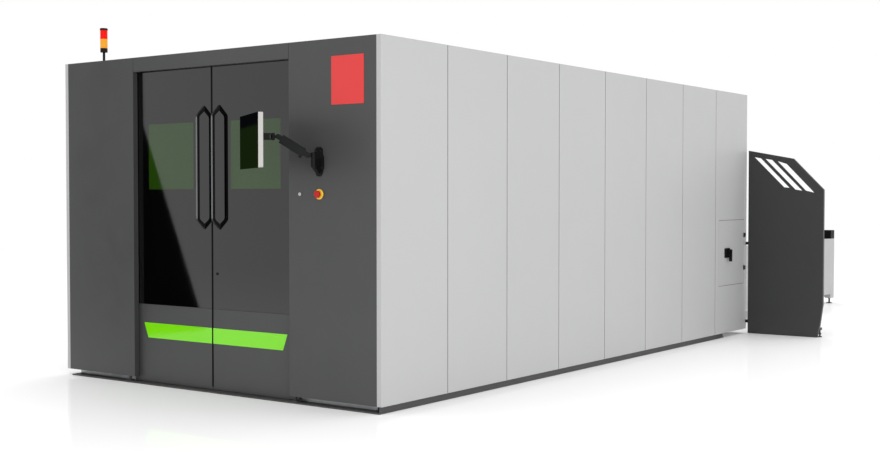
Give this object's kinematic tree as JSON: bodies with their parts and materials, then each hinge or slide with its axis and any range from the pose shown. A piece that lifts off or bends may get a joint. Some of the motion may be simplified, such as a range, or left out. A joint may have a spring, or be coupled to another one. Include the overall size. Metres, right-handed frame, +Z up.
{
  "type": "fibre laser cutting machine",
  "caption": "Enclosed flatbed laser cutter with sliding glazed front doors, gantry and cutting head inside, swivelling monitor arm and a pallet exchange table at the rear.",
  "frame": {"origin": "on the floor, under the centre of the whole machine's bounding box", "axes": "+X to the right of someone facing the front doors, +Y from the doors to the exchange table, +Z up"},
  "size_m": [4.32, 9.64, 2.435],
  "materials": {
    "anthracite_plate": "matt paint",
    "frame_steel": "matt paint",
    "light_grey_paint": "fine texture powder coat",
    "anthracite_paint": "fine texture powder coat",
    "door_paint": "fine texture powder coat",
    "black_glass": "gloss, back printed black",
    "green_filter_glass": "gloss laser safety filter",
    "green_stripe": "gloss",
    "handle_paint": "satin powder coat",
    "black_plastic": "matt",
    "yellow_plastic": "satin",
    "red_plastic": "satin",
    "white_plastic": "satin",
    "red_paint": "gloss",
    "amber_lens": "translucent gloss",
    "red_lens": "translucent gloss",
    "black_cast": "black powder coat",
    "arm_paint": "dark grey powder coat",
    "monitor_plastic": "fine texture",
    "screen_glass": "gloss",
    "black_rubber_steel": "black zinc",
    "pallet_steel": "mill scale",
    "bed_paint": "powder coat",
    "rail_steel": "ground",
    "gantry_aluminium": "anodised",
    "carriage_paint": "anodised",
    "head_metal": "satin",
    "black_block": "matt",
    "black_hinge": "satin",
    "galvanised_steel": "galvanised"
  },
  "bodies": {
    "enclosure": {"base_plate": "anthracite_plate", "side_frame_right": "frame_steel", "side_frame_left": "frame_steel", "side_panels_right": "light_grey_paint", "side_panels_left": "light_grey_paint", "side_panel_right_rear": "light_grey_paint", "front_column_right": "anthracite_paint", "front_column_left": "anthracite_paint", "front_header": "anthracite_paint", "roof_panel": "light_grey_paint", "rear_wall": "light_grey_paint", "extraction_collar": "galvanised_steel", "door_top_track": "galvanised_steel", "door_floor_guide": "galvanised_steel", "estop_collar": "yellow_plastic", "badge_plate": "red_paint", "tower_pole": "black_plastic", "tower_base": "black_plastic", "tower_lens_amber": "amber_lens", "tower_lens_red": "red_lens", "tower_cap": "black_plastic", "arm_wall_plate": "black_cast", "levelling_feet": "black_rubber_steel", "machine_bed": "bed_paint", "gantry_rails": "rail_steel", "shuttle_table_frame": "light_grey_paint", "shuttle_end_blocks": "black_block", "switch_cabinet_box": "light_grey_paint", "switch_hinges": "black_hinge", "guard_wing_right": "anthracite_paint", "guard_wing_left": "anthracite_paint", "wing_brackets": "black_hinge", "wing_feet": "black_rubber_steel"},
    "door_left": {"door_leaf_left": "door_paint", "door_glass_left": "black_glass", "door_window_left": "green_filter_glass", "door_stripe_left": "green_stripe", "door_handle_left": "handle_paint"},
    "door_right": {"door_leaf_right": "door_paint", "door_glass_right": "black_glass", "door_window_right": "green_filter_glass", "door_stripe_right": "green_stripe", "door_handle_right": "handle_paint"},
    "lock_barrel": {"door_lock": "black_plastic"},
    "estop": {"estop_button": "red_plastic"},
    "start": {"start_button": "white_plastic"},
    "shoulder": {"arm_shoulder": "black_cast"},
    "link": {"arm_link": "arm_paint"},
    "knuckle": {"arm_knuckle": "black_cast"},
    "monitor": {"vesa_bracket": "black_cast", "monitor_housing": "monitor_plastic", "monitor_screen": "screen_glass"},
    "switch_door": {"switch_cabinet_door": "light_grey_paint", "switch_base": "black_plastic"},
    "main_switch": {"switch_handle": "black_plastic"},
    "gantry": {"gantry_beam": "gantry_aluminium"},
    "carriage": {"cutting_carriage": "carriage_paint"},
    "head": {"cutting_head": "head_metal"},
    "pallet_a": {"pallet_inner": "pallet_steel"},
    "pallet_b": {"pallet_outer": "pallet_steel"}
  },
  "joints": [
    {"name": "door_left_slide", "type": "slide", "parent": "enclosure", "child": "door_left", "axis": [-1, 0, 0], "range_m": [0, 0.6]},
    {"name": "door_right_slide", "type": "slide", "parent": "enclosure", "child": "door_right", "axis": [1, 0, 0], "range_m": [0, 0.6]},
    {"name": "lock_turn", "type": "hinge", "parent": "door_right", "child": "lock_barrel", "pos_m": [0.045, -4.303, 0.765], "axis": [0, 1, 0], "range_deg": [0, 90]},
    {"name": "estop_press", "type": "slide", "parent": "enclosure", "child": "estop", "axis": [0, 1, 0], "range_m": [0, 0.005], "stiffness_N_per_m": 1500},
    {"name": "start_press", "type": "slide", "parent": "enclosure", "child": "start", "axis": [0, 1, 0], "range_m": [0, 0.002], "stiffness_N_per_m": 800},
    {"name": "arm_swivel", "type": "hinge", "parent": "enclosure", "child": "shoulder", "pos_m": [0.958, -4.397, 1.51], "axis": [0, 0, 1], "range_deg": [-5, 60]},
    {"name": "arm_lift", "type": "hinge", "parent": "shoulder", "child": "link", "pos_m": [0.93116, -4.41787, 1.51], "axis": [-0.6138, 0.7895, 0], "range_deg": [-40, 15]},
    {"name": "arm_level", "type": "hinge", "parent": "link", "child": "knuckle", "pos_m": [0.7926, -4.5256, 1.62], "axis": [-0.6138, 0.7895, 0], "range_deg": [-15, 40]},
    {"name": "head_swivel", "type": "hinge", "parent": "knuckle", "child": "monitor", "pos_m": [0.76734, -4.54524, 1.62], "axis": [0, 0, 1], "range_deg": [-12, 50]},
    {"name": "switch_door_swing", "type": "hinge", "parent": "enclosure", "child": "switch_door", "pos_m": [1.44, 1.007, 0.757], "axis": [0, 0, 1], "range_deg": [0, 90]},
    {"name": "main_switch_turn", "type": "hinge", "parent": "switch_door", "child": "main_switch", "pos_m": [1.44, 0.645, 0.757], "axis": [1, 0, 0], "range_deg": [0, 90]},
    {"name": "gantry_travel", "type": "slide", "parent": "enclosure", "child": "gantry", "axis": [0, 1, 0], "range_m": [0, 3.3]},
    {"name": "carriage_travel", "type": "slide", "parent": "gantry", "child": "carriage", "axis": [1, 0, 0], "range_m": [-0.75, 0.75]},
    {"name": "head_travel", "type": "slide", "parent": "carriage", "child": "head", "axis": [0, 0, 1], "range_m": [-0.055, 0.15]},
    {"name": "pallet_a_travel", "type": "slide", "parent": "enclosure", "child": "pallet_a", "axis": [0, 1, 0], "range_m": [0, 4.2]},
    {"name": "pallet_b_travel", "type": "slide", "parent": "enclosure", "child": "pallet_b", "axis": [0, 1, 0], "range_m": [-4.2, 0]}
  ],
  "couplings": [
    {"joint": "arm_level", "follows": "arm_lift", "ratio": -1},
    {"joint": "pallet_b_travel", "follows": "pallet_a_travel", "ratio": -1}
  ]
}
